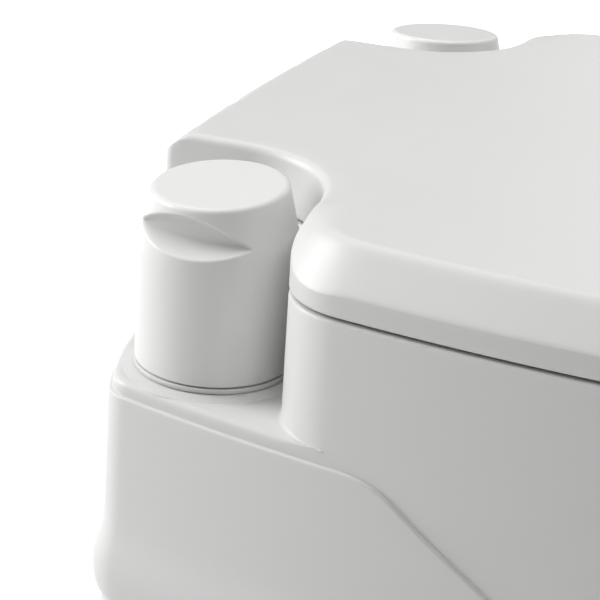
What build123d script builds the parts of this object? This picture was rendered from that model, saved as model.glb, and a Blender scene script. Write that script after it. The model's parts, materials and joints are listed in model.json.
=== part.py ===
from build123d import *
from functools import cache
import math
import os

# Portable cassette toilet: a flush-water unit with seat and lid, latched on a waste tank.
# +X is the user's right when facing the front, -Y is the front, +Z is up, in millimetres.
# The origin is on the floor, at the middle of the footprint.

# Overall size
WIDTH = 383.0
DEPTH = 427.0
HEIGHT = 330.0

# Plan outline of the upright walls
RIM_OUT = 7.7                       # how far the top unit's lower rim stands out
HALF_W = WIDTH / 2 - RIM_OUT
HALF_D = DEPTH / 2 - RIM_OUT
SIDE_R = 730.0                      # bow of the sides
END_R = 1900.0                      # bow of the front and the rear
REAR_CORNER = 24.0
FRONT_CORNER = 42.0
WALL = 3.0

# Levels
TANK_TOP = 164.0
RIM_BOTTOM = 165.0
RIM_TOP = 192.5
STEP_LEVEL = 250.5                  # upper edge of the raised rear panel
LEDGE = 256.0                       # where the pump and the filler stand
HINGE_DECK = 280.0                  # lowered deck under the hinge
DECK = 304.6
LID_BOTTOM = 305.9
BAND_TOP = 314.6
SEAT_BOTTOM = 307.0
SEAT_TOP = 320.5
SEAT_ROUND = 4.0
PANEL_RISE = 1.5                    # how far the rear panel stands out
LID_SLOPE = 13.0                    # width of the lid's sloping edge
LID_REAR = 4.8                      # how much steeper it is at the rear
LID_WALL = 3.5
LID_ROOF = 4.0

# Corner pockets, pump and filler
PUMP_X = 130.0
PUMP_Y = 160.0
POCKET_X = 126.5
POCKET_Y = 162.0
POCKET_R = 39.5
NEAR_CORNER = 30.0
TAIL_CORNER = 7.0
KNOB_R = 29.8
KNOB_TOP_R = 25.2
KNOB_BOTTOM = 260.0
KNOB_SHOULDER = 308.4
KNOB_TOP = 328.1
KNOB_TILT = 4.6                     # the knob's face leans outwards
NOTCH_ROOF = 34.0
NOTCH_HALF = 23.5
TUBE_R = 24.0
TUBE_BORE = 21.0
TUBE_BOTTOM = 178.0
TUBE_TOP = 300.0
ROD_R = 5.0
PORT_RISE = 9.0                     # the pump's outlet above the tube's foot
VALVE_OFFSET = 15.0                 # the outlet valve beside the pump tube
NOZZLE_Z = 284.0

# Hinge
HINGE_Y = 193.0
HINGE_Z = 311.0
HINGE_WALL = 170.0                  # front wall of the lowered hinge deck
PIN_R = 4.0
KNUCKLE_R = 8.0
ARM_SPANS = ((30.0, 38.0), (66.0, 74.0))
SEAT_KNUCKLE = (38.5, 51.5)
LID_KNUCKLE = (52.5, 65.5)
SLOT_GAP = 1.2
SKIRT_SLOT_Y = 196.8                # the arm slots in the lid's rear skirt start here
SKIRT_SLOT_IN_Y = 194.0

# Bowl, blade valve
BOWL_Y = -15.0
OUTLET_R = 46.0
TROUGH_HALF = 68.0
TROUGH_FLOOR = 148.0
TROUGH_REAR = 60.0
BLADE_Z = 152.0
BLADE_T = 3.0
BLADE_HALF = 55.0
PULL_HALF = 15.0                    # half width of the blade's neck
PULL_REACH = 196.0

# Pour-out spout and vent
SPOUT_X = 128.0
SPOUT_Y = 176.0
SPOUT_Z = 116.0
SPOUT_R = 19.0
SPOUT_BORE = 16.0
SPOUT_END = -20.0
NICHE_FLOOR = 84.0
NICHE_TOP = 150.0
VENT_X = -64.0
VENT_Y = 176.0

# Side latches and level gauge
LATCH_PIVOT_Z = 118.0
LATCH_HALF = 22.0
LATCH_ROOM = 1.5
LATCH_TOP = 186.0
LATCH_T = 6.0
LATCH_PIVOT_X = 184.0
GAUGE_X = 96.0
GAUGE_Z = 92.0
GAUGE_REST = 30.0
GAUGE_ARM_Y = -157.0
WINDOW_R = 15.0

# Fits
RUN = 0.08                          # radial clearance of a running fit
GAP = 0.4                           # clearance between curved faces of moving pieces

parts = {}


def box(x0, x1, y0, y1, z0, z1):
    """Block between two corners."""
    block = Box(x1 - x0, y1 - y0, z1 - z0)
    return Pos((x0 + x1) / 2, (y0 + y1) / 2, (z0 + z1) / 2) * block


def rod(x, y, z0, z1, radius):
    """Upright cylinder."""
    return Pos(x, y, (z0 + z1) / 2) * Cylinder(radius, z1 - z0)


def ring(x, y, z0, z1, outer, inner):
    """Upright tube."""
    return rod(x, y, z0, z1, outer) - rod(x, y, z0 - 1, z1 + 1, inner)


def bar_x(x0, x1, y, z, radius):
    """Cylinder along X."""
    return Pos((x0 + x1) / 2, y, z) * Rot(0, 90, 0) * Cylinder(radius, abs(x1 - x0))


def bar_y(x, y0, y1, z, radius):
    """Cylinder along Y."""
    return Pos(x, (y0 + y1) / 2, z) * Rot(90, 0, 0) * Cylinder(radius, abs(y1 - y0))


def mirrored(shape):
    """The same shape on the other side of the middle plane."""
    return mirror(shape, about=Plane.YZ)


@cache
def plan(grow=0.0, rear=0.0):
    """Body outline seen from above; rear moves the rear edge alone."""
    side = Circle(SIDE_R + grow)
    shape = (Pos(SIDE_R - HALF_W, 0) * side) & (Pos(HALF_W - SIDE_R, 0) * side)
    shape = shape & (Pos(0, HALF_D - END_R + rear) * Circle(END_R + grow))
    shape = shape & (Pos(0, END_R - HALF_D) * Circle(END_R + grow))
    rear_corners = [v for v in shape.vertices() if v.Y > 120]
    shape = fillet(rear_corners, REAR_CORNER + grow)
    front_corners = [v for v in shape.vertices() if v.Y < -120 and abs(v.X) > 100]
    return fillet(front_corners, FRONT_CORNER + grow)


def pocket(grow=0.0):
    """Outline of the left rear pocket, open to the side and to the rear."""
    reach = 120.0
    radius = POCKET_R + grow
    hole = Pos(-POCKET_X, POCKET_Y) * Circle(radius)
    low = POCKET_Y - radius
    right = radius - POCKET_X
    side_way = Pos(-POCKET_X - reach / 2, low + reach / 2) * Rectangle(reach, reach)
    rear_way = Pos(right - reach / 2, POCKET_Y + reach / 2) * Rectangle(reach, reach)
    return hole + side_way + rear_way


@cache
def deck_plan(grow=0.0, rear=0.0):
    """Body outline with both rear pockets cut out of it."""
    left = pocket(-grow)
    shape = plan(grow, rear) - left - mirrored(left)
    near = [v for v in shape.vertices() if abs(v.X) > 160 and 100 < v.Y < 140]
    shape = fillet(near, NEAR_CORNER + grow)
    tail = [v for v in shape.vertices() if 60 < abs(v.X) < 100 and v.Y > HALF_D + rear + grow - 8]
    return fillet(tail, max(TAIL_CORNER + grow, 1.5))


def prism(sketch, z0, z1):
    """Upright prism on a plan outline."""
    return extrude(Pos(0, 0, z0) * sketch, z1 - z0)


def stack(levels):
    """Solid with straight walls between plan outlines: (level, grow) from the bottom up."""
    solid = None
    for (z0, g0), (z1, g1) in zip(levels, levels[1:]):
        if g0 == g1:
            layer = prism(plan(g0), z0, z1)
        else:
            layer = loft([Pos(0, 0, z0) * plan(g0), Pos(0, 0, z1) * plan(g1)], ruled=True)
        solid = layer if solid is None else solid + layer
    return solid


def side_view(points, half):
    """Prism across the body whose outline is given as (y, z) points."""
    face = make_face(Polyline([(half, y, z) for y, z in points], close=True))
    return extrude(face, amount=2 * half, dir=(-1, 0, 0))


def knob(x, outward):
    """Round knob with a tapered head, a leaning face and an undercut finger notch."""
    sleeve = rod(x, PUMP_Y, KNOB_BOTTOM, KNOB_SHOULDER, KNOB_R)
    spare = 8.0
    slant = (KNOB_R - KNOB_TOP_R) / (KNOB_TOP - KNOB_SHOULDER)
    cone_h = KNOB_TOP + spare - KNOB_SHOULDER
    head = Cone(KNOB_R, KNOB_R - slant * cone_h, cone_h)
    head = Pos(x, PUMP_Y, KNOB_SHOULDER + cone_h / 2) * head
    lean = Pos(x, PUMP_Y, KNOB_TOP) * Rot(0, outward * KNOB_TILT, 0)
    head = head - lean * Pos(0, 0, 20) * Box(120, 120, 40)
    floor = KNOB_SHOULDER + 0.4
    apex = x + outward * 6.7
    reach = 40.0
    end = apex + outward * reach
    roof = floor + reach * math.tan(math.radians(NOTCH_ROOF))
    outline = [(apex, floor), (end, floor), (end, roof)]
    face = make_face(Polyline([(px, PUMP_Y - NOTCH_HALF, pz) for px, pz in outline], close=True))
    notch = extrude(face, amount=2 * NOTCH_HALF, dir=(0, 1, 0))
    body = sleeve + (head - notch)
    face_edge = body.faces().sort_by(Axis.Z)[-1].edges()
    body = fillet(face_edge, 1.2)
    body = body - rod(x, PUMP_Y, KNOB_BOTTOM - 1, KNOB_SHOULDER - 4, KNOB_R - 2.8)
    return body + ring(x, PUMP_Y, KNOB_BOTTOM, KNOB_BOTTOM + 5, KNOB_R - 2, TUBE_R + GAP)


# ---------------------------------------------------------------- waste tank

def tank_form(inset=0.0, lift=0.0):
    """Outer form of the waste tank, or its inside when inset."""
    levels = [(lift, -13 - inset), (7 + lift / 2, -8 - inset), (TANK_TOP - lift, -2.0 - inset)]
    return stack(levels)


def trough(grow=0.0):
    """Channel in the tank's top for the blade valve, open to the front."""
    return box(-TROUGH_HALF - grow, TROUGH_HALF + grow, -240, TROUGH_REAR + grow,
               TROUGH_FLOOR - grow, 200)


def niche(grow=0.0):
    """Niche in the tank's rear for the spout."""
    return box(-82 - grow, 158 + grow, 143 - grow, 240, NICHE_FLOOR - grow, NICHE_TOP + grow)


def grip_hollow(grow=0.0):
    """Hand hollow in the tank's front."""
    return box(-56 - grow, 56 + grow, -240, -164 + grow, 58 - grow, 116 + grow)


def latch_bay(side, grow=0.0):
    """Flat bay in the side wall behind a latch."""
    half = LATCH_HALF + LATCH_ROOM + grow
    x0 = side * (174.5 - grow)
    x1 = side * 240.0
    return box(min(x0, x1), max(x0, x1), -half, half, 104 - grow, 240)


def tank():
    """Waste tank with its trough, niche, hand hollow and latch bays."""
    solid = tank_form() - trough() - niche() - grip_hollow()
    space = tank_form(WALL, WALL) - trough(WALL) - niche(WALL) - grip_hollow(WALL)
    for side in (-1, 1):
        solid = solid - latch_bay(side)
        space = space - latch_bay(side, WALL)
    solid = solid - space
    solid = solid - rod(0, BOWL_Y, TROUGH_FLOOR - 10, TROUGH_FLOOR + 1, OUTLET_R + 2)
    solid = solid - rod(SPOUT_X, SPOUT_Y, NICHE_FLOOR - 10, NICHE_FLOOR + 1, SPOUT_R + 3.0)
    solid = solid - rod(VENT_X, VENT_Y, NICHE_FLOOR - 10, NICHE_FLOOR + 1, 3 + RUN)
    solid = solid - bar_y(GAUGE_X, -230, -170, GAUGE_Z, 6.0)
    for side in (-1, 1):
        x = side * LATCH_PIVOT_X
        for end in (-1, 1):
            low, high = sorted((end * (LATCH_HALF + LATCH_ROOM), end * (LATCH_HALF + 7.0)))
            ear = bar_y(x, low, high, LATCH_PIVOT_Z, 6.0)
            x0, x1 = sorted((x, side * 170))
            ear = ear + box(x0, x1, low, high, LATCH_PIVOT_Z - 6, LATCH_PIVOT_Z + 6)
            solid = solid + ear
            solid = solid - bar_y(x, low - 1, high, LATCH_PIVOT_Z, 2.5)
    return solid


parts["waste_tank"] = tank()

# Blade valve on the tank's top
guide = box(-64, 64, -80, 56, TROUGH_FLOOR, 160)
blade_room = BLADE_HALF + 0.5
guide = guide - box(-blade_room, blade_room, -90, 46, BLADE_Z - 0.3, BLADE_Z + BLADE_T + 0.3)
guide = guide - rod(0, BOWL_Y, 140, 170, OUTLET_R + 2)
screw_spots = [(sx * 60, y) for sx in (-1, 1) for y in (-70, -12, 46)]
for sx, sy in screw_spots:
    guide = guide - rod(sx, sy, 158, 161, 3.2)
parts["valve_guide"] = guide
parts["valve_screws"] = Compound([rod(sx, sy, 158, 159.8, 3.1) for sx, sy in screw_spots])
parts["valve_lip_seal"] = ring(0, BOWL_Y, 160, 164.8, OUTLET_R + 8, OUTLET_R + 3)

blade_rear = BOWL_Y + OUTLET_R + 8
blade_front = BOWL_Y - OUTLET_R - 8
blade_top = BLADE_Z + BLADE_T
blade = box(-BLADE_HALF, BLADE_HALF, blade_front, blade_rear, BLADE_Z, blade_top)
blade = blade + box(-PULL_HALF, PULL_HALF, -PULL_REACH, blade_front, BLADE_Z, BLADE_Z + BLADE_T)
parts["valve_blade"] = blade
handle = box(-48, 48, -205, -192, TROUGH_FLOOR + 1, 162)
handle = fillet(handle.edges().filter_by(Axis.Z), 6.0)
handle = handle - box(-36, 36, -200, -188, TROUGH_FLOOR - 1, BLADE_Z)
handle = handle - box(-PULL_HALF, PULL_HALF, -PULL_REACH, -190, BLADE_Z, BLADE_Z + BLADE_T)
parts["valve_handle"] = handle

# Hand grip across the front hollow
grip = box(-56, 56, -198, -182, 88, 108)
grip = fillet(grip.edges().filter_by(Axis.X), 6.0)
parts["carry_grip"] = grip

# Level gauge: float arm inside the tank, pointer under a window outside
wall_grow = -8 + 6 * (GAUGE_Z - 7) / (TANK_TOP - 7)
front_face = -(HALF_D + wall_grow) + GAUGE_X ** 2 / (2 * END_R)
gauge_out = front_face - 0.8
arm_y = GAUGE_ARM_Y


def gauge_rest(shape):
    """Turn a piece about the gauge's shaft to where it lies in an empty tank."""
    return Pos(GAUGE_X, 0, GAUGE_Z) * Rot(0, -GAUGE_REST, 0) * Pos(-GAUGE_X, 0, -GAUGE_Z) * shape


gland = bar_y(GAUGE_X, gauge_out + 3.4, front_face + 10, GAUGE_Z, 6.0)
parts["gauge_gland"] = gland - bar_y(GAUGE_X, gauge_out - 5, front_face + 20, GAUGE_Z, 2.5 + RUN)
shaft = bar_y(GAUGE_X, gauge_out - 0.4, arm_y + 5, GAUGE_Z, 2.5)
arm = box(GAUGE_X - 44, GAUGE_X + 2.5, arm_y, arm_y + 5, GAUGE_Z - 2.5, GAUGE_Z + 2.5)
parts["gauge_arm"] = gauge_rest(shaft + arm)
float_body = box(GAUGE_X - 80, GAUGE_X - 44, arm_y, arm_y + 38, GAUGE_Z - 12, GAUGE_Z + 12)
parts["gauge_float"] = gauge_rest(fillet(float_body.edges(), 4.0))
pointer = box(GAUGE_X - 11, GAUGE_X + 4, gauge_out - 1.8, gauge_out - 0.4, GAUGE_Z - 1.6, GAUGE_Z + 1.6)
parts["gauge_pointer"] = gauge_rest(pointer)
window = bar_y(GAUGE_X, gauge_out - 4.0, gauge_out + 2.4, GAUGE_Z, WINDOW_R)
window = window - bar_y(GAUGE_X, gauge_out - 2.3, gauge_out + 3, GAUGE_Z, WINDOW_R - 2)
parts["gauge_window"] = window - tank_form()

# Pour-out spout on its swivel neck
neck_base = NICHE_FLOOR - 9
bend = 22.0
path = FilletPolyline(
    (SPOUT_X, SPOUT_Y, neck_base),
    (SPOUT_X, SPOUT_Y, SPOUT_Z),
    (SPOUT_END, SPOUT_Y, SPOUT_Z),
    radius=bend,
)
mouth = Plane((SPOUT_X, SPOUT_Y, neck_base), z_dir=(0, 0, 1))
spout = sweep(mouth * Circle(SPOUT_R), path=path) - sweep(mouth * Circle(SPOUT_BORE), path=path)
spout = spout + ring(SPOUT_X, SPOUT_Y, NICHE_FLOOR + 0.5, NICHE_FLOOR + 3.5, SPOUT_R + 6, SPOUT_R - 1)
spout = spout + bar_x(SPOUT_END + 27, SPOUT_END + 31, SPOUT_Y, SPOUT_Z, SPOUT_R + 3)
parts["spout"] = spout - bar_x(SPOUT_END - 5, SPOUT_END + 60, SPOUT_Y, SPOUT_Z, SPOUT_BORE)
parts["spout_seal"] = ring(SPOUT_X, SPOUT_Y, NICHE_FLOOR - 3, NICHE_FLOOR, SPOUT_R + 3.0, SPOUT_R + RUN)
cap = bar_x(SPOUT_END - 5, SPOUT_END + 26, SPOUT_Y, SPOUT_Z, SPOUT_R + 5)
cap = cap - bar_x(SPOUT_END - 1.6, SPOUT_END + 30, SPOUT_Y, SPOUT_Z, SPOUT_R + RUN)
grooves = 16
for k in range(grooves):
    angle = 2 * math.pi * k / grooves
    groove_y = SPOUT_Y + (SPOUT_R + 5.6) * math.cos(angle)
    groove_z = SPOUT_Z + (SPOUT_R + 5.6) * math.sin(angle)
    cap = cap - bar_x(SPOUT_END - 1, SPOUT_END + 28, groove_y, groove_z, 1.5)
parts["spout_cap"] = cap
parts["spout_cap_gasket"] = bar_x(SPOUT_END - 1.6, SPOUT_END - 0.1, SPOUT_Y, SPOUT_Z, SPOUT_R)

# Air vent pressed while pouring
button = rod(VENT_X, VENT_Y, 89, 92.5, 8) + rod(VENT_X, VENT_Y, 76, 89, 3) + rod(VENT_X, VENT_Y, 74, 76, 9)
parts["vent_button"] = button
parts["vent_seal"] = ring(VENT_X, VENT_Y, 76.1, NICHE_FLOOR - WALL, 9, 3 + GAP)
coil = Helix(pitch=1.6, height=4.0, radius=5.0)
wire = Plane(coil @ 0, z_dir=coil % 0) * Circle(0.4)
parts["vent_spring"] = Pos(VENT_X, VENT_Y, NICHE_FLOOR + 0.5) * sweep(wire, path=coil, is_frenet=True)


def latch(side):
    """Side latch: a plate on a low pivot with a tooth that hooks over the rim."""
    y = LATCH_HALF
    x0, x1 = LATCH_PIVOT_X - LATCH_T / 2, LATCH_PIVOT_X + LATCH_T / 2
    plate = box(x0, x1, -y, y, LATCH_PIVOT_Z, LATCH_TOP)
    plate = plate + bar_y(LATCH_PIVOT_X, -y, y, LATCH_PIVOT_Z, 5.0)
    plate = plate + box(x0 - 5.0, x0, -y, y, LATCH_TOP - 5, LATCH_TOP)
    plate = plate - bar_y(LATCH_PIVOT_X, -y - 1, y + 1, LATCH_PIVOT_Z, 2.5 + RUN)
    pull = box(x1 - 0.01, x1 + 3.2, -y + 6, y - 6, 136, 142)
    plate = plate + pull
    return plate if side > 0 else mirrored(plate)


parts["latch_right"] = latch(1)
parts["latch_left"] = latch(-1)
pins = [bar_y(s * LATCH_PIVOT_X, -LATCH_HALF - 7, LATCH_HALF + 7, LATCH_PIVOT_Z, 2.5) for s in (-1, 1)]
parts["latch_pins"] = Compound(pins)

# ---------------------------------------------------------------- top unit

def rear_panel(grow, z0):
    """Raised lower rear part of the wall; its upper edge falls towards the front."""
    panel = prism(plan(grow), z0, STEP_LEVEL + 3)
    edge = [(260, STEP_LEVEL), (110, STEP_LEVEL), (88, 250), (72, 244.5), (56, 234), (-12, 188)]
    outline = edge + [(-12, 150), (-300, 150), (-300, 300), (260, 300)]
    return panel - side_view(outline, 220)


def hinge_deck(grow=0.0):
    """Space above the lowered deck between the pockets."""
    return box(-110, 110, HINGE_WALL - grow, 240, HINGE_DECK - grow, 400)


def latch_catch(side):
    """Cut-out in the rim around a latch, with a catch for its tooth."""
    half = LATCH_HALF + LATCH_ROOM
    high = LATCH_TOP + 3.0
    x0, x1 = sorted((side * 180.4, side * 240.0))
    plate_way = box(x0, x1, -half, half, 160, high)
    x0, x1 = sorted((side * 175.0, side * 240.0))
    return plate_way + box(x0, x1, -half, half, LATCH_TOP - 5.8, high)


def shell():
    """Outer moulding of the top unit, which holds the flush water."""
    solid = stack([(RIM_BOTTOM, 2.5), (RIM_BOTTOM + 5.5, RIM_OUT), (178, RIM_OUT), (RIM_TOP, 1.5)])
    solid = solid + prism(plan(), RIM_TOP - 1, LEDGE) + prism(deck_plan(), LEDGE - 1, DECK)
    solid = solid + rear_panel(PANEL_RISE, RIM_TOP - 1)
    solid = solid - hinge_deck()
    space = prism(plan(-WALL), RIM_BOTTOM - 1, LEDGE - WALL)
    space = space + prism(deck_plan(-WALL), LEDGE - WALL - 1, DECK - WALL)
    space = space - hinge_deck(WALL)
    for side in (-1, 1):
        solid = solid - latch_catch(side)
        x0, x1 = side * 171.8, side * 240
        space = space - box(min(x0, x1), max(x0, x1), -27, 27, 150, 192)
    solid = solid - space
    solid = solid - prism(Pos(0, BOWL_Y) * Ellipse(109, 129), DECK - 10, DECK + 1)
    for x in (-PUMP_X, PUMP_X):
        solid = solid - rod(x, PUMP_Y, LEDGE - 10, LEDGE + 1, TUBE_R + 0.05)
    for x0, x1 in ARM_SPANS:
        arm = hinge_arm(x0, x1)
        solid = solid + arm + mirrored(arm)
    return solid


def hinge_arm(x0, x1):
    """Arm from the hinge deck's front wall to the pin."""
    y, z = HINGE_Y, HINGE_Z
    foot = HINGE_WALL - 2
    outline = [(foot, 286), (foot, 303), (foot + 6, 312), (y, z + 7.5), (y, z - 7), (182, 302)]
    face = make_face(Polyline([(x0, py, pz) for py, pz in outline], close=True))
    arm = extrude(face, amount=x1 - x0, dir=(1, 0, 0)) + bar_x(x0, x1, y, z, KNUCKLE_R)
    return arm - bar_x(x0 - 1, x1 + 1, y, z, PIN_R)


parts["top_shell"] = shell()

base = prism(plan(-WALL - 0.1), RIM_BOTTOM, RIM_BOTTOM + WALL)
base = base - rod(0, BOWL_Y, 160, 170, OUTLET_R + 12.1)
for side in (-1, 1):
    x0, x1 = side * 171.7, side * 240
    base = base - box(min(x0, x1), max(x0, x1), -27.1, 27.1, 150, 192)
parts["top_unit_base"] = base


def bowl_form(grow, over=0.0):
    """Inside form of the bowl, or its outside when grown; over lengthens both ends."""
    rim, outlet = DECK + 1.8 + over, 168 - over
    sections = [(rim, 104, 124), (270, 98, 116), (225, 77, 87), (190, 54, 56), (outlet, 46, 46)]
    rings = [Pos(0, BOWL_Y, z) * Ellipse(a + grow, b + grow + 0.01) for z, a, b in sections]
    return loft(rings, ruled=True)


bowl = bowl_form(WALL)
bowl = bowl + prism(Pos(0, BOWL_Y) * Ellipse(118, 138), DECK, DECK + 1.8)
bowl = bowl + rod(0, BOWL_Y, RIM_BOTTOM, 168.5, OUTLET_R + 12)
bowl = bowl - bowl_form(0, 5.0)
bowl = bowl - bar_y(0, 60, 140, NOZZLE_Z, 6.0)
parts["bowl"] = bowl

# Flush pump in the left pocket
tube_x, tube_y = -PUMP_X, PUMP_Y
tube = ring(tube_x, tube_y, TUBE_BOTTOM, TUBE_TOP, TUBE_R, TUBE_BORE)
port_z = TUBE_BOTTOM + PORT_RISE
tube = tube - bar_x(tube_x + 10, tube_x + 40, tube_y, port_z, 5.0)
parts["pump_tube"] = tube
parts["pump_collar"] = ring(tube_x, tube_y, LEDGE, LEDGE + 3.2, KNOB_R + 2.0, TUBE_R)
parts["pump_gland"] = ring(tube_x, tube_y, TUBE_TOP - 4, TUBE_TOP, TUBE_BORE, ROD_R + RUN)
foot = rod(tube_x, tube_y, 170, TUBE_BOTTOM, TUBE_R) - rod(tube_x, tube_y, 169, 180, 9)
for sx in (-1, 1):
    slot_y = tube_y + sx * 14
    foot = foot - box(tube_x - 30, tube_x + 30, slot_y - 4, slot_y + 4, 169, 172.5)
parts["pump_foot"] = foot
disc = rod(tube_x, tube_y, TUBE_BOTTOM, TUBE_BOTTOM + 2, 13)
parts["inlet_valve_disc"] = disc + rod(tube_x, tube_y, 172, TUBE_BOTTOM, 5)

parts["pump_handle"] = knob(tube_x, -1)
parts["pump_rod"] = rod(tube_x, tube_y, 196, KNOB_SHOULDER - 4, ROD_R)
piston = rod(tube_x, tube_y, 190, 196, TUBE_BORE - GAP) + rod(tube_x, tube_y, 196, 206, 12)
piston = piston - rod(tube_x, tube_y, 196, 207, ROD_R)
parts["pump_piston"] = piston
parts["piston_seal"] = ring(tube_x, tube_y, 196, 201, TUBE_BORE - RUN, 12)

# Outlet valve beside the pump and the tube that feeds the bowl
out_x = tube_x + TUBE_R + VALVE_OFFSET
fitting = bar_x(tube_x + 20.5, out_x - 7, tube_y, port_z, 5.0) + rod(out_x, tube_y, 174, 206, 9)
fitting = fitting - rod(out_x, tube_y, 184, 200, 7) - rod(out_x, tube_y, 178, 210, 4)
fitting = fitting - bar_x(tube_x, out_x, tube_y, port_z, 3.0)
parts["outlet_fitting"] = fitting - rod(tube_x, tube_y, 170, 210, TUBE_BORE)
parts["outlet_valve_ball"] = Pos(out_x, tube_y, 189.5) * Sphere(6.0)
pipe_path = FilletPolyline(
    (out_x, tube_y, 206),
    (out_x, tube_y, 240),
    (0, 146, 240),
    (0, 140, NOZZLE_Z),
    (0, 122, NOZZLE_Z),
    radius=5.0,
)
pipe_start = Plane((out_x, tube_y, 206), z_dir=(0, 0, 1))
pipe = sweep(pipe_start * Circle(4.5), path=pipe_path)
parts["flush_tube"] = pipe - sweep(pipe_start * Circle(3.2), path=pipe_path)
nozzle = bar_y(0, 90, 122, NOZZLE_Z, 6.0) - bar_y(0, 96, 130, NOZZLE_Z, 3.2)
nozzle = nozzle - box(-7, 7, 92, 97, NOZZLE_Z - 7, NOZZLE_Z - 1)
parts["flush_nozzle"] = nozzle

# Filler in the right pocket
neck = ring(PUMP_X, PUMP_Y, 236, 296, TUBE_R, TUBE_BORE)
parts["fill_neck"] = neck + ring(PUMP_X, PUMP_Y, LEDGE, LEDGE + 3.2, KNOB_R + 2.0, TUBE_R - 1)
parts["fill_cap_gasket"] = rod(PUMP_X, PUMP_Y, 296.1, 299, KNOB_R - 3.4)
parts["fill_cap"] = knob(PUMP_X, 1) + ring(PUMP_X, PUMP_Y, 299.1, KNOB_SHOULDER - 3.9, 10, 6)

# ---------------------------------------------------------------- seat and lid

def knuckle(span, top):
    """Hinge knuckle around the pin, joined upwards to what it carries."""
    x0, x1 = span
    y, z = HINGE_Y, HINGE_Z
    return bar_x(x0, x1, y, z, KNUCKLE_R) + box(x0, x1, y - KNUCKLE_R, y + KNUCKLE_R, z, top)


def pin_bore(x0, x1):
    """Running bore for a hinge pin."""
    return bar_x(x0, x1, HINGE_Y, HINGE_Z, PIN_R + RUN)


def seat():
    """Seat ring with two hinge tongues."""
    outline = deck_plan(-12) & (Pos(0, -134) * Rectangle(400, 600))
    solid = prism(outline, SEAT_BOTTOM, SEAT_TOP)
    solid = solid - prism(Pos(0, BOWL_Y) * Ellipse(98, 118), SEAT_BOTTOM - 1, SEAT_TOP + 1)
    rims = [e for e in solid.edges() if abs(e.center().Z - SEAT_TOP) < 0.01]
    solid = fillet(rims, SEAT_ROUND)
    x0, x1 = SEAT_KNUCKLE
    tongue = box(x0, x1, 150, HINGE_Y, SEAT_BOTTOM, HINGE_Z + 7)
    tongue = tongue + bar_x(x0, x1, HINGE_Y, HINGE_Z, KNUCKLE_R)
    solid = solid + tongue + mirrored(tongue)
    for s in (-1, 1):
        solid = solid - pin_bore(s * (x0 - 1), s * (x1 + 1))
    return solid


def lid_form(inset, top):
    """Outside of the lid, or its inside when inset."""
    straight = prism(deck_plan(-inset), LID_BOTTOM, top)
    level = BAND_TOP - 0.4 * inset
    crest = Pos(0, 0, top) * plan(-inset - LID_SLOPE, rear=LID_REAR)
    slope = loft([Pos(0, 0, level) * plan(-inset), crest], ruled=True)
    return straight & (prism(plan(-inset), LID_BOTTOM - 1, level) + slope)


def lid():
    """Hollow lid with hinge knuckles and slots for the hinge arms."""
    solid = lid_form(0, HEIGHT) - lid_form(LID_WALL, HEIGHT - LID_ROOF)
    part = knuckle(LID_KNUCKLE, HEIGHT - LID_ROOF)
    solid = solid + part + mirrored(part)
    k0, k1 = LID_KNUCKLE
    for s in (-1, 1):
        for x0, x1 in ARM_SPANS:
            a, b = sorted((s * (x0 - SLOT_GAP), s * (x1 + SLOT_GAP)))
            solid = solid - box(a, b, SKIRT_SLOT_Y, 220, 300, HEIGHT + 1)
            solid = solid - box(a, b, SKIRT_SLOT_IN_Y, 220, 300, HEIGHT - LID_ROOF - 1)
        solid = solid - pin_bore(s * (k0 - 1), s * (k1 + 1))
    return solid


parts["seat"] = seat()
parts["lid"] = lid()
pins = [bar_x(s * 28, s * 76, HINGE_Y, HINGE_Z, PIN_R) for s in (-1, 1)]
parts["hinge_pins"] = Compound(pins)
seat_pads = [(sx * x, y) for sx in (-1, 1) for x, y in ((145, -130), (140, 85))]
parts["seat_bumpers"] = Compound([rod(x, y, DECK + 0.1, SEAT_BOTTOM, 7) for x, y in seat_pads])
lid_pads = [(sx * x, y) for sx in (-1, 1) for x, y in ((130, -150), (130, 95))]
lid_inside = HEIGHT - LID_ROOF
parts["lid_bumpers"] = Compound([rod(x, y, SEAT_TOP + 0.1, lid_inside, 6) for x, y in lid_pads])

os.makedirs("parts", exist_ok=True)
for name, solid in parts.items():
    export_step(solid, f"parts/{name}.step")
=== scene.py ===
import bpy
import json
import math
import numpy as np
import openvdb
from mathutils import Matrix, Vector
from mathutils.geometry import delaunay_2d_cdt


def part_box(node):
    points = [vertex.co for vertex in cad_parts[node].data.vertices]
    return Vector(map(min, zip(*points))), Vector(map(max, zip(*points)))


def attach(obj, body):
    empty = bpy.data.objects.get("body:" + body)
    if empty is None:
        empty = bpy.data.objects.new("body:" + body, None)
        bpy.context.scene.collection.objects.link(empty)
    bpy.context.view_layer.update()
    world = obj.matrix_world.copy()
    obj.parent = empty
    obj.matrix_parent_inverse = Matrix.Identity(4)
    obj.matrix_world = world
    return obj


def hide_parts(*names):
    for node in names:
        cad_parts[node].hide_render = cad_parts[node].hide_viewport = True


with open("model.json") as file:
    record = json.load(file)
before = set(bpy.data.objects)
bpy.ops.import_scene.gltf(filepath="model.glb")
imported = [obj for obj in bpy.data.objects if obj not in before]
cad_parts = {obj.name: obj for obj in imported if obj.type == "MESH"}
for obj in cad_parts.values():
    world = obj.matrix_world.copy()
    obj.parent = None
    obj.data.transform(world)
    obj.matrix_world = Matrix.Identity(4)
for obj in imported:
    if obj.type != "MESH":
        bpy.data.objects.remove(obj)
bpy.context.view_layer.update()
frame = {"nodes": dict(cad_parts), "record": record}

# Lengths below are in millimetres, in the frame's own axes; MM turns them into metres.
MM = 0.001


def box_mm(node):
    """Lowest and highest corner of a node at rest."""
    low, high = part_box(node)
    return low / MM, high / MM


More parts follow.
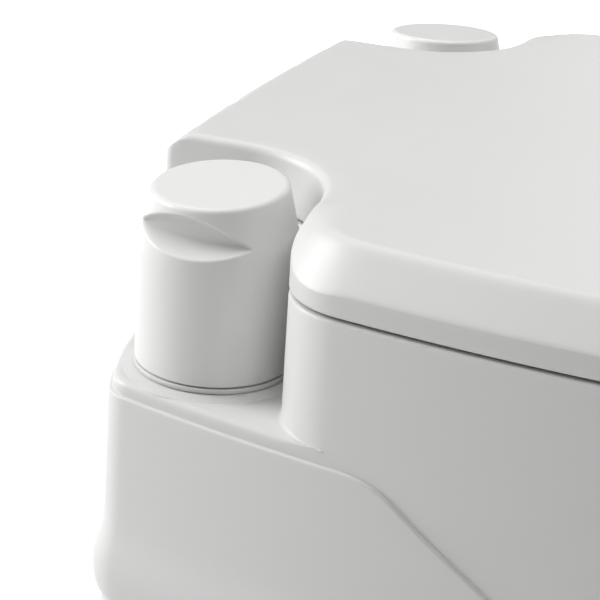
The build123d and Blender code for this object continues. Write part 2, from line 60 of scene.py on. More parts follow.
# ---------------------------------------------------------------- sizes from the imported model

COLLAR_LOW, COLLAR_HIGH = box_mm("pump_collar")
KNOB_BOTTOM = box_mm("pump_handle")[0].z
HEIGHT = box_mm("lid")[1].z
LEDGE = COLLAR_LOW.z
KNOB_X = (COLLAR_LOW.x + COLLAR_HIGH.x) / 2
KNOB_Y = (COLLAR_LOW.y + COLLAR_HIGH.y) / 2

# Levels
RIM_BOTTOM = 165.0
RIM_END = 199.0                     # where the rim's bulge has run out
DECK = 304.6
LID_BOTTOM = 305.9

# Plan outline: bowed sides and ends, with rounded corners
HALF_W, HALF_D = 183.8, 205.8
SIDE_R, END_R = 730.0, 1900.0
REAR_CORNER, FRONT_CORNER = 24.0, 42.0
REAR_BEND, REAR_TIP = 175.0, 14.0   # the rear wall bends before its tight corner
BEND_START = 0.05                   # sine of the angle at which the bend begins

# Corner pockets that hold the pump and the filler
POCKET_X, POCKET_Y, POCKET_R = 133.0, 168.5, 46.0
NEAR_CORNER, TAIL_CORNER = 30.0, 4.0
CORNER_SPLIT = 150.0                # near corners lie in front of this, tail corners behind it
POCKET_LINE = POCKET_Y - POCKET_R
POCKET_WALL = POCKET_X - POCKET_R

# Lid
BAND_TOP = 314.6
SLOPE_WIDTH = 13.0
WRAP_R, WRAP_X = 43.5, 128.0        # the slope goes round each corner in front of a pocket
WRAP_BACK = 12.0
REAR_LEVEL = 320.8
REAR_WIDTH = 9.0
CROWN, CROWN_SPAN = 0.5, (180.0, 200.0)
SLOPE_BLEND, CROWN_BLEND = 3.0, 2.6
LID_WALL = 3.5
ROOF = 4.0
FLAT_EDGE_R, SLOPE_EDGE_R = 3.6, 1.1    # rounding of the top edge beside the flat top, beside a slope

# Hinge
HINGE_Y, HINGE_Z = 193.0, 311.0
KNUCKLE_R, PIN_HOLE, KNUCKLE_HOLE = 8.0, 4.0, 4.08
ARM_SPANS = ((30, 38), (66, 74))    # in x, on each side of the middle
LID_KNUCKLE = (52.5, 65.5)


# ---------------------------------------------------------------- fields: negative inside

def rounded(a, b, r):
    """Both a and b, with their corner rounded to radius r."""
    return np.minimum(np.maximum(a, b), -r) + np.hypot(np.maximum(a + r, 0), np.maximum(b + r, 0))


def soft_min(a, b, k):
    """The smaller of a and b, blended where they differ by less than k."""
    h = np.maximum(k - np.abs(a - b), 0) / k
    return np.minimum(a, b) - h * h * k / 4


def soft_max(a, b, k):
    return -soft_min(-a, -b, k)


def side_field(x, y):
    return np.maximum(np.hypot(x - HALF_W + SIDE_R, y), np.hypot(x + HALF_W - SIDE_R, y)) - SIDE_R


def rear_field(x, y):
    return np.hypot(x, y - HALF_D + END_R) - END_R


def front_field(x, y):
    return np.hypot(x, y + HALF_D - END_R) - END_R


def plan_field(x, y):
    """Outline of the upright walls."""
    rear = rounded(side_field(x, y), rear_field(x, y), REAR_CORNER)
    return rounded(rear, front_field(x, y), FRONT_CORNER)


def deck_field(x, y):
    """Outline of the deck and the lid, with a pocket in each rear corner."""
    pocket = rounded(POCKET_WALL - np.abs(x), POCKET_LINE - y, POCKET_R)
    return rounded(plan_field(x, y), -pocket, np.where(y < CORNER_SPLIT, NEAR_CORNER, TAIL_CORNER))


def lid_top(x, y):
    """Height of the lid's outside: a flat top, sloping edges and a steeper rear edge."""
    edge = -rounded(side_field(x, y), front_field(x, y), FRONT_CORNER)
    corner = rounded(side_field(x, y), y - POCKET_LINE - WRAP_BACK, WRAP_R)
    edge = np.minimum(edge, 2 * np.maximum(WRAP_X - np.abs(x), 0) - corner)
    slope = BAND_TOP + edge * (HEIGHT - BAND_TOP) / SLOPE_WIDTH
    rear = REAR_LEVEL - rear_field(x, y) * (HEIGHT - REAR_LEVEL) / REAR_WIDTH
    crown = HEIGHT - CROWN * ((x / CROWN_SPAN[0]) ** 2 + (y / CROWN_SPAN[1]) ** 2)
    return soft_min(soft_min(slope, rear, SLOPE_BLEND), crown, CROWN_BLEND)


# ---------------------------------------------------------------- meshes

def make_object(name, points, faces, normals=None):
    """Smooth-shaded object from points in millimetres."""
    mesh = bpy.data.meshes.new(name)
    mesh.from_pydata((np.asarray(points, float) * MM).tolist(), [], [list(f) for f in faces])
    mesh.validate()
    mesh.shade_smooth()
    if normals is not None and len(mesh.vertices) == len(normals):
        mesh.normals_split_custom_set_from_vertices(normals.tolist())
    obj = bpy.data.objects.new(name, mesh)
    bpy.context.scene.collection.objects.link(obj)
    return obj


def solid(name, field, low, high, step):
    """Mesh of the surface where field is zero, with its points and normals taken from the field."""
    counts = [int((b - a) / step) + 6 for a, b in zip(low, high)]
    start = np.array([a - 2.37 * step for a in low])
    axes = [s + step * np.arange(n) for s, n in zip(start, counts)]
    grid_x, grid_y, grid_z = np.meshgrid(*axes, indexing="ij", sparse=True)
    reach = 3 * step
    values = np.clip(field(grid_x, grid_y, grid_z), -reach, reach).astype(np.float32)
    grid = openvdb.FloatGrid(reach)
    grid.copyFromArray(np.ascontiguousarray(values))
    points, quads = grid.convertToQuads(0.0)
    points = start + np.asarray(points, float) * step

    def slope(p, h):
        parts = []
        for k in range(3):
            d = np.zeros(3)
            d[k] = h
            parts.append((field(*(p + d).T) - field(*(p - d).T)) / (2 * h))
        g = np.stack(parts, 1)
        return g / np.maximum((g * g).sum(1), 1e-3)[:, None]

    for _ in range(2):
        move = field(*points.T)[:, None] * slope(points, 0.15 * step)
        size = np.linalg.norm(move, axis=1)[:, None]
        points = points - move * np.minimum(1, 0.7 * step / np.maximum(size, 1e-9))
    normals = slope(points, 0.3 * step)
    normals = normals / np.maximum(np.linalg.norm(normals, axis=1), 1e-9)[:, None]
    quads = np.asarray(quads)
    a, b, d = (points[quads[:, k]] for k in (0, 1, 3))
    facing = (np.cross(b - a, d - a) * normals[quads[:, 0]]).sum()
    if facing < 0:
        quads = quads[:, ::-1]
    return make_object(name, points, quads.tolist(), normals)


def inside(p, ring):
    """Which points lie inside a closed ring."""
    a, b = ring, np.roll(ring, -1, 0)
    hits = np.zeros(len(p), int)
    for (ax, ay), (bx, by) in zip(a, b):
        if ay != by:
            crosses = (p[:, 1] < ay) != (p[:, 1] < by)
            hits += crosses & (p[:, 0] < ax + (p[:, 1] - ay) * (bx - ax) / (by - ay))
    return hits % 2 == 1


class Skin:
    """Mesh put together from rows of points and filled loops."""

    def __init__(self):
        self.points, self.faces = [], []

    def row(self, points):
        """Adds points and returns their indices."""
        first = len(self.points)
        self.points += [tuple(float(v) for v in p) for p in points]
        return list(range(first, len(self.points)))

    def face(self, corners):
        """Adds a face, without the corners that coincide."""
        ring = [c for k, c in enumerate(corners) if c != corners[k - 1]]
        if len(set(ring)) > 2:
            self.faces.append(ring)

    def band(self, low, high, closed=True):
        """Joins two rows of the same length."""
        n = len(low)
        for k in range(n if closed else n - 1):
            j = (k + 1) % n
            self.face([low[k], low[j], high[j], high[k]])

    def bands(self, rows):
        """Joins each closed row to the next."""
        for low, high in zip(rows, rows[1:]):
            self.band(low, high)

    def fill(self, outer, holes=(), extra=(), height=None, up=True):
        """Closes a loop that has holes, through extra points at the given height."""
        loops = [outer, *holes]
        ids = [i for loop in loops for i in loop]
        edges, first = [], 0
        for loop in loops:
            n = len(loop)
            edges += [(first + k, first + (k + 1) % n) for k in range(n)]
            first += n
        ids += self.row([(x, y, height(x, y)) for x, y in extra])
        flat = [Vector(self.points[i][:2]) for i in ids]
        _, _, triangles, origin, _, _ = delaunay_2d_cdt(flat, edges, [], 0, 1e-6)
        made = [[ids[origin[v][0]] for v in t] for t in triangles if all(origin[v] for v in t)]
        at = np.array(self.points)[:, :2]
        middle = at[np.array(made)].mean(1)
        keep = inside(middle, at[outer])
        for hole in holes:
            keep &= ~inside(middle, at[hole])
        for tri, kept in zip(made, keep):
            if kept:
                a, b, c = at[tri]
                turn = (b[0] - a[0]) * (c[1] - a[1]) - (b[1] - a[1]) * (c[0] - a[0])
                self.face(tri if (turn > 0) == up else tri[::-1])

    def build(self, name):
        return make_object(name, self.points, self.faces)


def cut(obj, *cutters):
    """Takes the cutters away from obj, which keeps its smooth shading."""
    for cutter in cutters:
        m = obj.modifiers.new("cut", "BOOLEAN")
        m.operation, m.object, m.solver = "DIFFERENCE", cutter, "EXACT"
        bake(obj)
        bpy.data.objects.remove(cutter)
    return obj


def bake(obj):
    """Applies the modifiers of obj."""
    dg = bpy.context.evaluated_depsgraph_get()
    mesh = bpy.data.meshes.new_from_object(obj.evaluated_get(dg))
    obj.modifiers.clear()
    obj.data = mesh
    return obj


# ---------------------------------------------------------------- outlines

def arc(centre, radius, a0, a1, gap, turn=1):
    """Points (x, y, normal x, normal y) along an arc; turn is -1 where the solid is outside it."""
    n = max(3, int(abs(a1 - a0) * radius / gap) + 1)
    angles = [a0 + (a1 - a0) * k / n for k in range(n + 1)]
    rays = [(math.cos(a), math.sin(a)) for a in angles]
    return [(centre[0] + radius * c, centre[1] + radius * s, turn * c, turn * s) for c, s in rays]


def straight(p, q, gap, normal):
    """Points (x, y, normal x, normal y) from p to q."""
    n = max(2, int(math.dist(p, q) / gap) + 1)
    return [(p[0] + (q[0] - p[0]) * k / n, p[1] + (q[1] - p[1]) * k / n, *normal) for k in range(n + 1)]


def join(*chains):
    out = []
    for chain in chains:
        out += chain if not out else chain[1:]
    return out


def mirror(chain):
    return [(-x, y, -nx, ny) for x, y, nx, ny in reversed(chain)]


def angle(centre, point):
    return math.atan2(point[1] - centre[1], point[0] - centre[0])


def corner_centre(c1, r1, c2, r2, axis=0):
    """Crossing of two circles: the one further along the given axis."""
    dx, dy = c2[0] - c1[0], c2[1] - c1[1]
    d = math.hypot(dx, dy)
    a = (r1 * r1 - r2 * r2 + d * d) / (2 * d)
    h = math.sqrt(r1 * r1 - a * a)
    mx, my = c1[0] + a * dx / d, c1[1] + a * dy / d
    found = [(mx + s * h * dy / d, my - s * h * dx / d) for s in (-1, 1)]
    return max(found, key=lambda p: p[axis])


def half_outlines():
    """Right half of the outlines: the part shared, the body's corner, the pocket and the rear's middle."""
    side, rear, front = (HALF_W - SIDE_R, 0), (0, HALF_D - END_R), (0, END_R - HALF_D)
    # fc, nc and tc are the centres of the front, near and tail corners
    fc = corner_centre(side, SIDE_R - FRONT_CORNER, front, END_R - FRONT_CORNER)
    start = math.asin(BEND_START)
    bend = (rear[0] + (END_R - REAR_BEND) * math.sin(start), rear[1] + (END_R - REAR_BEND) * math.cos(start))
    tip = corner_centre(bend, REAR_BEND - REAR_TIP, side, SIDE_R - REAR_TIP, 1)
    nc_y = POCKET_LINE - NEAR_CORNER
    nc = (side[0] + math.sqrt((SIDE_R - NEAR_CORNER) ** 2 - nc_y ** 2), nc_y)
    tc_x = POCKET_WALL - TAIL_CORNER
    tc = (tc_x, rear[1] + math.sqrt((END_R - TAIL_CORNER) ** 2 - tc_x ** 2))
    shared = join(
        arc(front, END_R, -math.pi / 2, angle(front, fc), 6.0),
        arc(fc, FRONT_CORNER, angle(front, fc), angle(side, fc), 3.0),
        arc(side, SIDE_R, angle(side, fc), angle(side, nc), 5.0),
    )
    body = join(
        arc(side, SIDE_R, angle(side, nc), angle(side, tip), 4.0),
        arc(tip, REAR_TIP, angle(side, tip), angle(bend, tip), 1.3),
        arc(bend, REAR_BEND, angle(bend, tip), math.pi / 2 - start, 3.0),
        arc(rear, END_R, math.pi / 2 - start, angle(rear, tc), 4.0),
    )
    deck = join(
        arc(nc, NEAR_CORNER, angle(side, nc), math.pi / 2, 1.6),
        straight((nc[0], POCKET_LINE), (POCKET_X, POCKET_LINE), 3.0, (0, 1)),
        arc((POCKET_X, POCKET_Y), POCKET_R, -math.pi / 2, -math.pi, 1.8, -1),
        straight((POCKET_WALL, POCKET_Y), (POCKET_WALL, tc[1]), 3.0, (1, 0)),
        arc(tc, TAIL_CORNER, 0, angle(rear, tc), 0.9),
    )
    middle = arc(rear, END_R, angle(rear, tc), math.pi / 2, 6.0)
    return shared, body, deck, middle


SHARED, BODY, POCKET, MIDDLE = half_outlines()


def ring(part):
    """Whole outline, counter-clockwise from the front's middle, and its parts as ranges."""
    chains = [SHARED, part[1:-1], join(MIDDLE, mirror(MIDDLE)), mirror(part)[1:-1], mirror(SHARED)[:-1]]
    ends = np.cumsum([0] + [len(c) for c in chains])
    return np.array([p for c in chains for p in c]), ends


BODY_RING, BODY_ENDS = ring(BODY)
DECK_RING, DECK_ENDS = ring(POCKET)


def at(outline, grow, z):
    """Points of an outline moved outwards by grow, at height z."""
    grow = np.broadcast_to(grow, len(outline))
    z = np.broadcast_to(z, len(outline))
    return np.stack([outline[:, 0] + grow * outline[:, 2], outline[:, 1] + grow * outline[:, 3], z], 1)


def smooth_step(v, a, b):
    t = np.clip((v - a) / (b - a), 0, 1)
    return t * t * (3 - 2 * t)


# ---------------------------------------------------------------- materials

def plastic(
    name, colour, rough, grain=0.35, shade=0.03,
    coat=0.0, specular=0.5, grain_size=0.9, speck=0.0,
):
    """Moulded plastic: slight colour drift, uneven gloss, an orange-peel surface and a fine grain."""
    m = bpy.data.materials.new(name)
    m.use_nodes = True
    nodes, links = m.node_tree.nodes, m.node_tree.links
    bsdf = nodes["Principled BSDF"]
    bsdf.inputs["Specular IOR Level"].default_value = specular
    bsdf.inputs["Coat Weight"].default_value = coat
    bsdf.inputs["Coat Roughness"].default_value = 0.12
    coords = nodes.new("ShaderNodeTexCoord")

    def noise(scale, detail, roughness=0.5):
        n = nodes.new("ShaderNodeTexNoise")
        n.inputs["Scale"].default_value = scale
        n.inputs["Detail"].default_value = detail
        n.inputs["Roughness"].default_value = roughness
        links.new(coords.outputs["Object"], n.inputs["Vector"])
        return n

    drift = noise(7.0, 3.0)
    ramp = nodes.new("ShaderNodeValToRGB")
    low = [c * (1 - shade) for c in colour]
    ramp.color_ramp.elements[0].position = 0.3
    ramp.color_ramp.elements[0].color = (low[0], low[1], low[2] * (1 - shade * 0.4), 1)
    ramp.color_ramp.elements[1].position = 0.7
    ramp.color_ramp.elements[1].color = (*colour, 1)
    links.new(drift.outputs["Fac"], ramp.inputs["Fac"])
    if speck:
        fleck = noise(520.0, 2.0)
        cut_off = nodes.new("ShaderNodeMapRange")
        cut_off.inputs["From Min"].default_value = 0.6
        cut_off.inputs["From Max"].default_value = 0.75
        cut_off.inputs["To Max"].default_value = speck
        mix = nodes.new("ShaderNodeMix")
        mix.data_type = "RGBA"
        links.new(fleck.outputs["Fac"], cut_off.inputs["Value"])
        links.new(cut_off.outputs["Result"], mix.inputs["Factor"])
        links.new(ramp.outputs["Color"], mix.inputs["A"])
        mix.inputs["B"].default_value = (*[c * 0.7 for c in colour], 1)
        links.new(mix.outputs["Result"], bsdf.inputs["Base Color"])
    else:
        links.new(ramp.outputs["Color"], bsdf.inputs["Base Color"])
    gloss = noise(45.0, 4.0, 0.6)
    gloss_range = nodes.new("ShaderNodeMapRange")
    gloss_range.inputs["To Min"].default_value = rough - 0.05
    gloss_range.inputs["To Max"].default_value = rough + 0.05
    links.new(gloss.outputs["Fac"], gloss_range.inputs["Value"])
    links.new(gloss_range.outputs["Result"], bsdf.inputs["Roughness"])
    peel = noise(160.0, 2.0)
    fine = noise(1000.0 / grain_size, 2.0)
    peel_bump = nodes.new("ShaderNodeBump")
    peel_bump.inputs["Strength"].default_value = 0.05
    peel_bump.inputs["Distance"].default_value = 0.0004
    fine_bump = nodes.new("ShaderNodeBump")
    fine_bump.inputs["Strength"].default_value = grain
    fine_bump.inputs["Distance"].default_value = 0.00005
    links.new(peel.outputs["Fac"], peel_bump.inputs["Height"])
    links.new(fine.outputs["Fac"], fine_bump.inputs["Height"])
    links.new(peel_bump.outputs["Normal"], fine_bump.inputs["Normal"])
    links.new(fine_bump.outputs["Normal"], bsdf.inputs["Normal"])
    return m


WHITE = plastic("shell_plastic", (0.725, 0.725, 0.72), 0.42, 0.3, 0.02)
LID_WHITE = plastic("lid_plastic", (0.715, 0.715, 0.71), 0.40, 0.35, 0.02)
PUMP_WHITE = plastic("pump_plastic", (0.81, 0.808, 0.80), 0.32, 0.15, 0.015)
SEAT_WHITE = plastic("seat_plastic", (0.84, 0.84, 0.83), 0.35, 0.12, 0.015, coat=0.15)
BOWL_WHITE = plastic("bowl_plastic", (0.86, 0.86, 0.85), 0.2, 0.08, 0.015, coat=0.3)
TANK_GREY = plastic("tank_plastic", (0.70, 0.71, 0.71), 0.5, 0.6, 0.05, grain_size=1.4, speck=0.12)
FITTING = plastic("fitting_plastic", (0.42, 0.43, 0.45), 0.42, 0.5, 0.06)
RED = plastic("indicator_plastic", (0.62, 0.06, 0.04), 0.35, 0.2, 0.08)
RUBBER = plastic(
    "seal_rubber", (0.035, 0.035, 0.038), 0.62, 0.8, 0.2, specular=0.35, grain_size=0.6, speck=0.2,
)
PAD = plastic(
    "pad_rubber", (0.52, 0.52, 0.52), 0.7, 0.8, 0.08, specular=0.3, grain_size=0.6, speck=0.15,
)


def steel():
    m = plastic("brushed_steel", (0.58, 0.58, 0.58), 0.35, 0.2, 0.08)
    m.node_tree.nodes["Principled BSDF"].inputs["Metallic"].default_value = 1.0
    return m


def clear():
    m = plastic("clear_plastic", (0.9, 0.93, 0.95), 0.08, 0.05, 0.02)
    bsdf = m.node_tree.nodes["Principled BSDF"]
    bsdf.inputs["Transmission Weight"].default_value = 0.9
    bsdf.inputs["IOR"].default_value = 1.49
    return m


MATERIALS = {
    "shell_white": WHITE,
    "lid_white": LID_WHITE,
    "pump_white": PUMP_WHITE,
    "seat_white": SEAT_WHITE,
    "bowl_white": BOWL_WHITE,
    "tank_grey": TANK_GREY,
    "fitting_grey": FITTING,
    "clear_window": clear(),
    "gauge_red": RED,
    "seal_rubber": RUBBER,
    "pad_rubber": PAD,
    "steel": steel(),
}
SOFT_EDGES = {
    "waste_tank": 1.2, "carry_grip": 1.2, "valve_handle": 0.8, "latch_left": 0.5, "latch_right": 0.5,
    "gauge_gland": 0.4, "outlet_fitting": 0.5,
}
SLOT_OF = {s["node"]: s["material_slot"] for s in frame["record"]["subparts"]}
for node_name, node in frame["nodes"].items():
    node.data.materials.clear()
    node.data.materials.append(MATERIALS[SLOT_OF[node_name]])
    if node_name in SOFT_EDGES:
        soft = node.modifiers.new("soft_edges", "BEVEL")
        soft.width, soft.segments = SOFT_EDGES[node_name] * MM, 2
        soft.limit_method, soft.angle_limit = "ANGLE", math.radians(40)
        soft.harden_normals = True


def stand_for(obj, body, node_name):
    """obj replaces a CAD node and takes its finish."""
    obj.data.materials.clear()
    obj.data.materials.append(MATERIALS[SLOT_OF[node_name]])
    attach(obj, body)
    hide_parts(node_name)


# ---------------------------------------------------------------- top shell

PANEL = 1.5                         # how far the rear panel stands out
PANEL_START = (-4.0, 10.0)          # where it rises from the wall, in y
DRAFT = 0.6                         # lean of the walls between the rim and the ledge
PANEL_SPAN, UPPER_SPAN = 52.0, 57.0     # how high it runs, on the panel and from the panel's edge up
LEDGE_ROUND, LEDGE_FOOT = 2.6, 1.6
BORE_R = 24.2                       # wells for the pump tube and the filler neck
BOWL_Y = -15.0

# Rim: (level, how far it stands out)
RIM_BULGE = (
    (RIM_BOTTOM, 0.6), (RIM_BOTTOM + 0.5, 1.6), (166.6, 2.3), (168.5, 2.9), (171.0, 3.4),
    (173.5, 3.8), (176.5, 4.0), (180.0, 3.9), (184.0, 3.3), (187.5, 2.2), (190.5, 1.3),
    (193.5, 0.6), (196.5, 0.15), (RIM_END, 0.0),
)
# Rear panel's upper edge: (y, level), and its step: (level from the edge, share of the panel left)
CREASE = ((5, 200.5), (56, 234.3), (66, 241.3), (72, 245.7), (78, 248.6), (84, 250.1), (92, 250.5))
CREASE_STEP = (
    (-1.4, 1.0), (-0.9, 0.98), (-0.5, 0.92), (-0.22, 0.8), (-0.05, 0.6),
    (0.0, 0.42), (0.03, 0.15), (0.14, 0.03), (0.7, 0.0),
)
# Deck's edge: (level from the deck, inset)
DECK_EDGE = (
    (-2.0, 0), (-1.3, 0.05), (-0.75, 0.25), (-0.3, 0.65), (-0.06, 1.2), (0, 1.9), (0, 3.2),
)
# Opening for the bowl: (half width, half depth, level)
BOWL_OPENING = (
    (109, 129, DECK), (107.5, 127.5, DECK - 6), (104, 122, 270),
    (84, 94, 225), (62, 64, 190), (62, 62, RIM_BOTTOM),
)


def narrowing(outline, other):
    """Distance from each point of one chain to the nearest of another."""
    return np.array([np.hypot(*(other[:, :2] - p[:2]).T).min() for p in outline])


def draft(z, span):
    return DRAFT * np.maximum(1 - (z - RIM_END) / span, 0)


def oval(half_x, half_y, centre, z, count):
    turns = np.linspace(0, 2 * math.pi, count, endpoint=False)
    return [(centre[0] + half_x * math.cos(t), centre[1] + half_y * math.sin(t), z) for t in turns]


def outer_wall(skin, ledge_round):
    """Wall from the rim to the ledge. Returns its lowest and its highest row."""
    y = BODY_RING[:, 1]
    panel = PANEL * smooth_step(y, *PANEL_START)
    crease = np.interp(y, *zip(*CREASE))
    places = [(bulge + panel + DRAFT, z) for z, bulge in RIM_BULGE]
    foot = crease + CREASE_STEP[0][0]
    for share in (0.25, 0.5, 0.75):
        z = RIM_END + (foot - RIM_END) * share
        places.append((panel + draft(z, PANEL_SPAN), z))
    for dz, share in CREASE_STEP:
        z = crease + dz
        places.append((panel * share + draft(z, UPPER_SPAN), z))
    head = crease + CREASE_STEP[-1][0]
    for share in (0.4, 0.8):
        z = head + (LEDGE - LEDGE_ROUND - head) * share
        z = np.minimum(z, LEDGE - ledge_round - 0.2)
        places.append((draft(z, UPPER_SPAN), z))
    rows = [skin.row(at(BODY_RING, grow, z)) for grow, z in places]
    rows.append(skin.row(at(BODY_RING, 0, LEDGE - ledge_round)))
    skin.bands(rows)
    return rows[0], rows[-1]


def upper_wall(skin, ledge_row, foot):
    """Wall from the ledge to the deck, which starts on the outer wall's row away from the pockets."""
    first = skin.row(at(DECK_RING, 0, LEDGE + foot))
    for k in (0, 2, 4):
        first[slice(*DECK_ENDS[k:k + 2])] = ledge_row[slice(*BODY_ENDS[k:k + 2])]
    rows = [first]
    for share in (0.15, 0.4, 0.7):
        rows.append(skin.row(at(DECK_RING, 0, LEDGE + 2 + (DECK - LEDGE - 4) * share)))
    rows += [skin.row(at(DECK_RING, -inset, DECK + dz)) for dz, inset in DECK_EDGE]
    skin.bands(rows)
    return rows[0], rows[-1]


def ledge(skin, centre, outer, inner, outer_r, inner_r):
    """Ledge in one pocket: rounded outer edge, hollow foot and a bored floor. Returns the well's lower row.

    outer and inner are pairs of an outline and the row of points already on it.
    """
    outline, row = outer
    ends = row[0], row[-1]

    def next_row(outline, grow, z):
        new = skin.row(at(outline, grow, z))
        new[0], new[-1] = ends
        return new

    for turn in (22.5, 45, 67.5, 90):
        a = math.radians(turn)
        new = next_row(outline, -outer_r * (1 - math.cos(a)), LEDGE - outer_r * (1 - math.sin(a)))
        skin.band(row, new, closed=False)
        row = new
    outline, low = inner
    for turn in (60, 30, 0):
        a = math.radians(turn)
        new = next_row(outline, inner_r * (1 - math.sin(a)), LEDGE + inner_r * (1 - math.cos(a)))
        skin.band(new, low, closed=False)
        low = new
    mouth, well = (skin.row(oval(BORE_R, BORE_R, centre, z, 72)) for z in (LEDGE, RIM_BOTTOM))
    skin.fill(row + low[::-1][1:-1], [mouth])
    skin.band(mouth, well)
    return well


def shell_mesh():
    skin = Skin()
    is_shared = np.ones(len(BODY_RING), bool)
    for k in (1, 3):
        is_shared[slice(*BODY_ENDS[k:k + 2])] = False
    ledge_round = np.minimum(LEDGE_ROUND, 0.45 * narrowing(BODY_RING, DECK_RING))
    ledge_round = np.where(is_shared, 0, ledge_round)
    foot = np.minimum(LEDGE_FOOT, 0.4 * narrowing(DECK_RING, BODY_RING))
    rim_row, ledge_row = outer_wall(skin, ledge_round)
    foot_row, deck_row = upper_wall(skin, ledge_row, foot)
    wells = []
    for k, x in ((1, -KNOB_X), (3, KNOB_X)):
        out = list(range(BODY_ENDS[k] - 1, BODY_ENDS[k + 1] + 1))
        inn = list(range(DECK_ENDS[k] - 1, DECK_ENDS[k + 1] + 1))
        outer = BODY_RING[out], [ledge_row[i] for i in out]
        inner = DECK_RING[inn], [foot_row[i] for i in inn]
        wells.append(ledge(skin, (x, KNOB_Y), outer, inner, ledge_round[out], foot[inn]))
    opening = [skin.row(oval(a, b, (0, BOWL_Y), z, 96)) for a, b, z in BOWL_OPENING]
    skin.fill(deck_row, [opening[0]])
    for high, low in zip(opening, opening[1:]):
        skin.band(high, low)
    skin.fill(rim_row, [opening[-1], *wells], up=False)
    return skin.build("shell_body")


def cutting_box(low, high, r=0):
    """Box to cut with, its edges rounded by r."""
    x, y, z = (sorted(pair) for pair in zip(low, high))
    points = [(px, py, pz) for px in x for py in y for pz in z]
    faces = [(0, 1, 3, 2), (4, 6, 7, 5), (0, 4, 5, 1), (2, 3, 7, 6), (0, 2, 6, 4), (1, 5, 7, 3)]
    obj = make_object("cutter", points, faces)
    if r:
        soft = obj.modifiers.new("soft", "BEVEL")
        soft.width, soft.segments = r * MM, 4
        bake(obj)
    return obj


HINGE_BAY = ((-110, 170, 280), (110, 260, 360))
LATCH_HALF = 23.5                   # half the width of the latch bays

shell = shell_mesh()
cut(shell, cutting_box(*HINGE_BAY))
for side in (-1, 1):
    bay = cutting_box((side * 180.4, -LATCH_HALF, 150), (side * 240, LATCH_HALF, 189), 3)
    hook = cutting_box((side * 175, -LATCH_HALF, 180.2), (side * 200, LATCH_HALF, 189))
    cut(shell, bay, hook)
stand_for(shell, "base", "top_shell")


def add_piece(obj, body, slot):
    """obj is a piece of its own on a body."""
    obj.data.materials.append(MATERIALS[slot])
    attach(obj, body)


def hinge_arm(name, x0, x1):
    """Arm that holds the hinge pin, with rounded edges."""
    half, reach, middle, level, slope = 4.6, 13.0, 179.0, 300.4, 0.55

    def field(px, py, pz):
        axis = np.hypot(py - HINGE_Y, pz - HINGE_Z)
        across = np.abs(pz - level - (py - middle) * slope) - half
        strut = np.maximum(across, np.abs(py - middle) - reach)
        body = soft_min(axis - KNUCKLE_R, strut, 3.0)
        body = rounded(body, np.abs(px - (x0 + x1) / 2) - (x1 - x0) / 2, 1.0)
        return np.maximum(body, PIN_HOLE - axis)

    return solid(name, field, (x0, 166, 285), (x1, 202, 320), 0.9)


for k, (x0, x1) in enumerate([*ARM_SPANS, *((-x1, -x0) for x0, x1 in ARM_SPANS)]):
    add_piece(hinge_arm(f"hinge_arm_{k}", x0, x1), "base", "shell_white")


# ---------------------------------------------------------------- lid

# Lid's lower edge: (inset, level from the lid's bottom)
LID_EDGE = (
    (LID_WALL, 2), (LID_WALL, 0.6), (LID_WALL - 0.5, 0.0), (1.0, 0.0),
    (0.55, 0.1), (0.2, 0.4), (0.03, 0.85), (0, 1.4),
)


def height_inside(inset):
    """Height of the lid's outside at each point of its outline, moved inwards."""
    inset = np.broadcast_to(inset, len(DECK_RING))
    return lid_top(*(DECK_RING[:, :2] - inset[:, None] * DECK_RING[:, 2:]).T)


def lid_mesh():
    skin = Skin()
    # the top edge is rounder beside the flat top, in the pockets, than beside a slope
    share = smooth_step(height_inside(LID_WALL), 326, 329.5)
    edge_r = SLOPE_EDGE_R + (FLAT_EDGE_R - SLOPE_EDGE_R) * share
    drop = edge_r * (0.45 + 0.55 * share)
    # inner skirt, bottom edge and outer wall
    rows = [skin.row(at(DECK_RING, -LID_WALL, height_inside(LID_WALL) - ROOF))]
    rows += [skin.row(at(DECK_RING, -inset, LID_BOTTOM + dz)) for inset, dz in LID_EDGE]
    foot = LID_BOTTOM + LID_EDGE[-1][1]
    for part in (0.35, 0.75):
        rows.append(skin.row(at(DECK_RING, 0, foot + (height_inside(0) - drop - foot) * part)))
    for turn in (0, 15, 30, 45, 60, 75, 90):
        a = math.radians(turn)
        inset = edge_r * (1 - math.cos(a))
        rows.append(skin.row(at(DECK_RING, -inset, height_inside(inset) - drop * (1 - math.sin(a)))))
    skin.bands(rows)
    # top and underside, with close rows along the crease
    extra = []
    for inset in (2.4, 4, 6, 8, 9.6, 10.8, 11.6, 12.2, 12.8, 13.4, 14.0, 14.8, 16, 18, 21, 25):
        extra += (BODY_RING[:, :2] - inset * BODY_RING[:, 2:]).tolist()
    for y in np.arange(-190, 196, 11.0):
        extra += [(x, y) for x in np.arange(-165, 166, 11.0) if plan_field(x, y) < -29]
    extra = np.array(extra)
    limit = deck_field(*extra.T)
    at_side = plan_field(*extra.T) > limit - 0.05
    above = extra[limit < -np.where(at_side, SLOPE_EDGE_R, FLAT_EDGE_R) - 0.8]
    below = extra[limit < -LID_WALL - 0.8]
    skin.fill(rows[-1], extra=above.tolist(), height=lid_top)
    skin.fill(rows[0], extra=below.tolist(), height=lambda x, y: lid_top(x, y) - ROOF, up=False)
    return skin.build("lid_cover")


SLOT_GAP, SLOT_FRONT = 1.2, 195.5   # slots in the lid's rear edge, which clear the arms

lid = lid_mesh()
for side in (-1, 1):
    for x0, x1 in ARM_SPANS:
        low = side * (x0 - SLOT_GAP), SLOT_FRONT, 296
        high = side * (x1 + SLOT_GAP), 225, 340
        cut(lid, cutting_box(low, high))
stand_for(lid, "lid", "lid")


